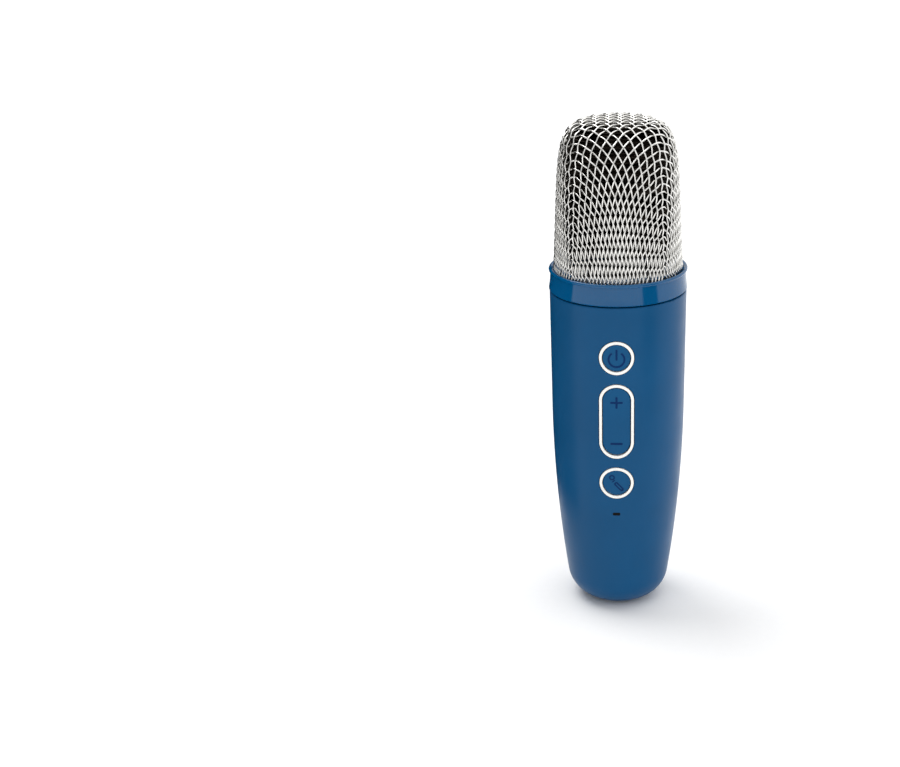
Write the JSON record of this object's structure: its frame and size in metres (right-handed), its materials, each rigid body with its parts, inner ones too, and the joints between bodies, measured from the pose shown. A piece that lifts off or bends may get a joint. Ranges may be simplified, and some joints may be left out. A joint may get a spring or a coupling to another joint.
{
  "type": "toy microphone",
  "caption": "Handheld wireless toy microphone: tapered two-half handle on a rounded foot, collar, woven wire head over foam, front keys with trim rings, electronics inside.",
  "frame": {"origin": "centre of the foot on the surface that the microphone stands on", "axes": "+Z along the handle to the crown of the head, -Y out of the face with the keys, +X to the right of someone facing the keys"},
  "size_m": [0.042, 0.042, 0.1555],
  "materials": {
    "body_blue": "satin blue plastic",
    "gloss_blue": "glossy blue plastic",
    "key_blue": "satin blue plastic",
    "trim_white": "pale trim, satin",
    "woven_wire": "nickel plated steel wire",
    "steel": "plated steel",
    "foam": "black open-cell foam",
    "black_plastic": "black plastic",
    "rubber": "black rubber",
    "white_plastic": "white plastic",
    "board_green": "solder-masked board",
    "chip_black": "moulded chip package",
    "lens_black": "dark tinted plastic",
    "led_white": "clear lamp body",
    "cell_wrap": "shrink wrap round a steel can",
    "aluminium": "aluminium can",
    "lead": "insulated copper lead",
    "ceramic": "ceramic capacitor"
  },
  "bodies": {
    "handle": {"front_shell": "body_blue", "rear_shell": "body_blue", "collar": "gloss_blue", "grille_mesh": "woven_wire", "grille_rim": "steel", "windscreen_foam": "foam", "capsule_carrier": "black_plastic", "capsule_boot": "rubber", "capsule": "aluminium", "capsule_leads": "lead", "power_ring": "trim_white", "volume_ring": "trim_white", "mode_ring": "trim_white", "key_frame": "black_plastic", "indicator_lens": "lens_black", "status_led": "led_white", "main_board": "board_green", "radio_can": "steel", "radio_board": "board_green", "audio_chip": "chip_black", "charger_chip": "chip_black", "crystal": "steel", "power_inductor": "chip_black", "filter_capacitors": "ceramic", "battery_socket": "white_plastic", "battery_plug": "white_plastic", "battery_cell": "cell_wrap", "battery_tabs": "steel", "battery_pad": "foam", "battery_leads": "lead", "usb_shell": "steel", "usb_tongue": "black_plastic", "usb_board": "board_green", "usb_leads": "lead", "shell_screws": "steel", "board_screws": "steel", "usb_screws": "steel", "power_switch": "steel", "volume_up_switch": "steel", "volume_down_switch": "steel", "mode_switch": "steel"},
    "power_key": {"power_key": "key_blue"},
    "volume_rocker": {"volume_rocker": "key_blue"},
    "mode_key": {"mode_key": "key_blue"},
    "power_plunger": {"power_plunger": "black_plastic"},
    "volume_up_plunger": {"volume_up_plunger": "black_plastic"},
    "volume_down_plunger": {"volume_down_plunger": "black_plastic"},
    "mode_plunger": {"mode_plunger": "black_plastic"}
  },
  "joints": [
    {"name": "power_press", "type": "slide", "parent": "handle", "child": "power_key", "axis": [0, 1, 0], "range_m": [0, 0.0004], "stiffness_N_per_m": 1500},
    {"name": "mode_press", "type": "slide", "parent": "handle", "child": "mode_key", "axis": [0, 1, 0], "range_m": [0, 0.0004], "stiffness_N_per_m": 1500},
    {"name": "volume_rock", "type": "hinge", "parent": "handle", "child": "volume_rocker", "pos_m": [0, -0.01543, 0.0669], "axis": [1, 0, 0], "range_deg": [-2, 2], "stiffness_Nm_per_rad": 0.22},
    {"name": "power_plunger_travel", "type": "slide", "parent": "handle", "child": "power_plunger", "axis": [0, 1, 0], "range_m": [0, 0.0004]},
    {"name": "mode_plunger_travel", "type": "slide", "parent": "handle", "child": "mode_plunger", "axis": [0, 1, 0], "range_m": [0, 0.0004]},
    {"name": "volume_up_plunger_travel", "type": "slide", "parent": "handle", "child": "volume_up_plunger", "axis": [0, 1, 0], "range_m": [-0.00035, 0.00035]},
    {"name": "volume_down_plunger_travel", "type": "slide", "parent": "handle", "child": "volume_down_plunger", "axis": [0, 1, 0], "range_m": [-0.00035, 0.00035]}
  ],
  "couplings": [
    {"joint": "power_plunger_travel", "follows": "power_press", "ratio": 1},
    {"joint": "mode_plunger_travel", "follows": "mode_press", "ratio": 1},
    {"joint": "volume_up_plunger_travel", "follows": "volume_rock", "m_per_rad": -0.0085},
    {"joint": "volume_down_plunger_travel", "follows": "volume_rock", "m_per_rad": 0.0085}
  ]
}
